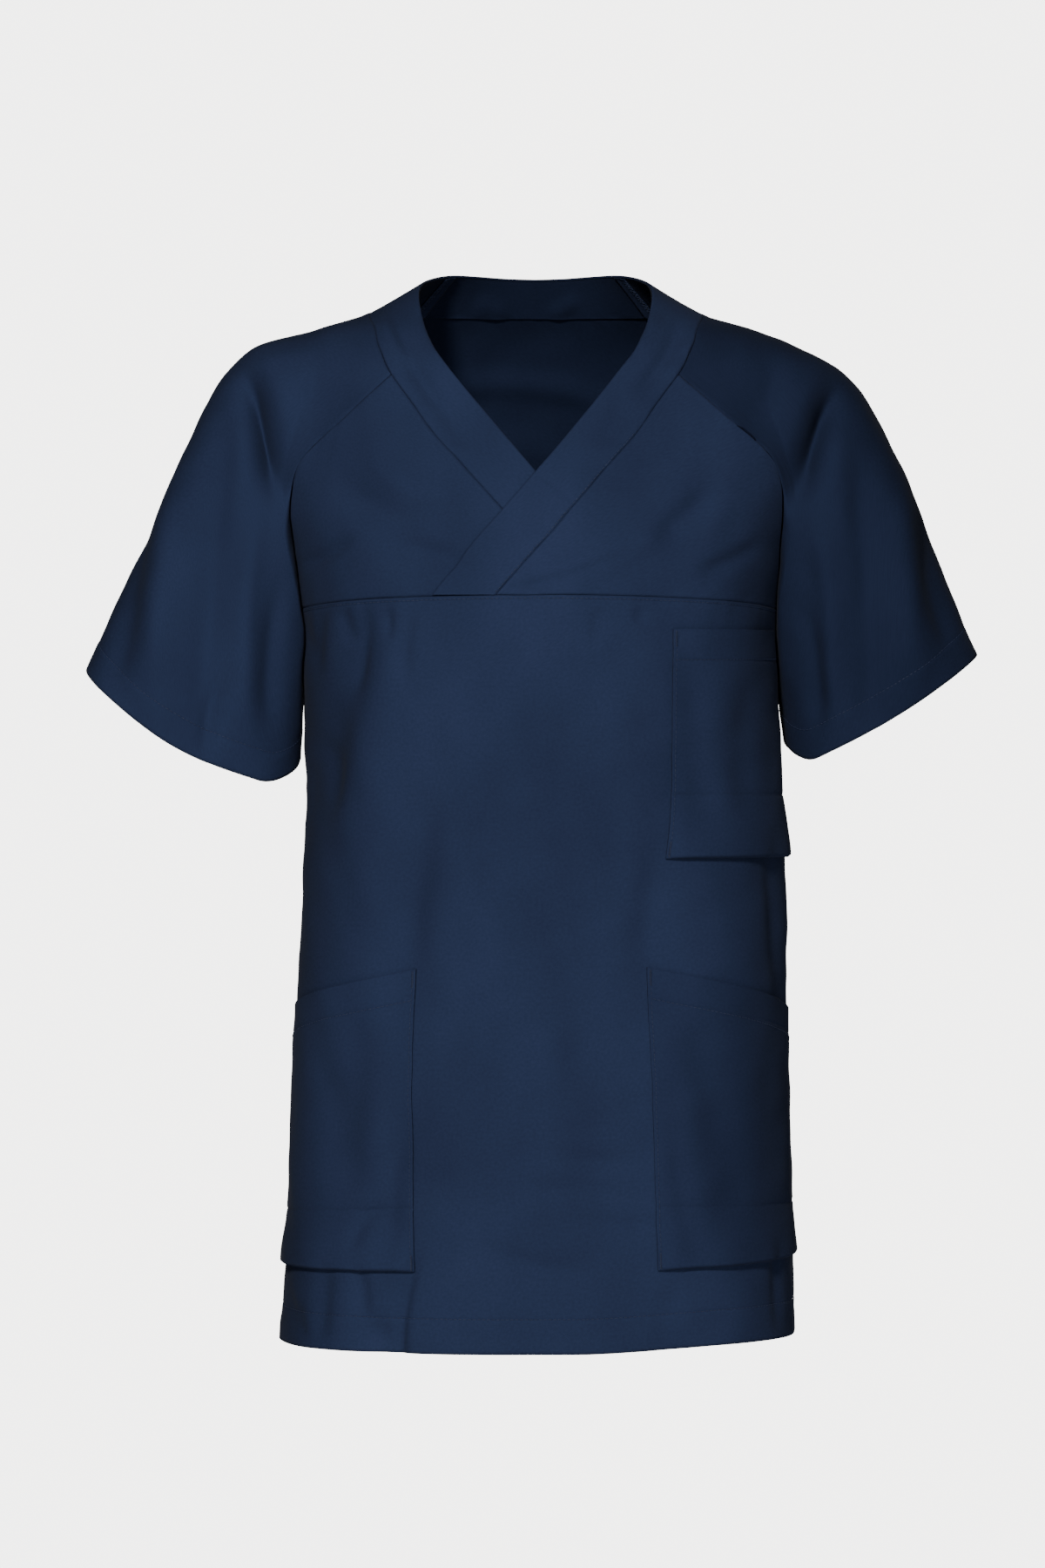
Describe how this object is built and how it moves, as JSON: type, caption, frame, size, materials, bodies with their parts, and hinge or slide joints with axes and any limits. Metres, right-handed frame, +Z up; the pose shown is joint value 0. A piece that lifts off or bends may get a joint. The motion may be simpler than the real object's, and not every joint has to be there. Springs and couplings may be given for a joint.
{
  "type": "scrub top",
  "caption": "Short-sleeved medical scrub top in worn form: cross-over V neck with a band, raglan sleeves, a chest seam, a chest pocket and slanted side pockets.",
  "frame": {"origin": "the middle between the wearer's shoulders, at the height of the shoulder tops, where the wearer holds the top up", "axes": "+X towards the wearer's left, +Y towards the wearer's back, +Z up, so that the front faces -Y"},
  "size_m": [0.6222, 0.2649, 0.7474],
  "materials": {
    "cloth": "matt",
    "band": "matt",
    "pocket": "matt"
  },
  "bodies": {
    "root": {"front": "cloth", "back": "cloth", "yoke_right": "cloth", "yoke_left": "cloth", "sleeve_right": "cloth", "sleeve_left": "cloth", "band_right": "band", "band_left": "band", "band_back": "band", "pocket_chest": "pocket", "pocket_right": "pocket", "pocket_left": "pocket"}
  },
  "joints": []
}
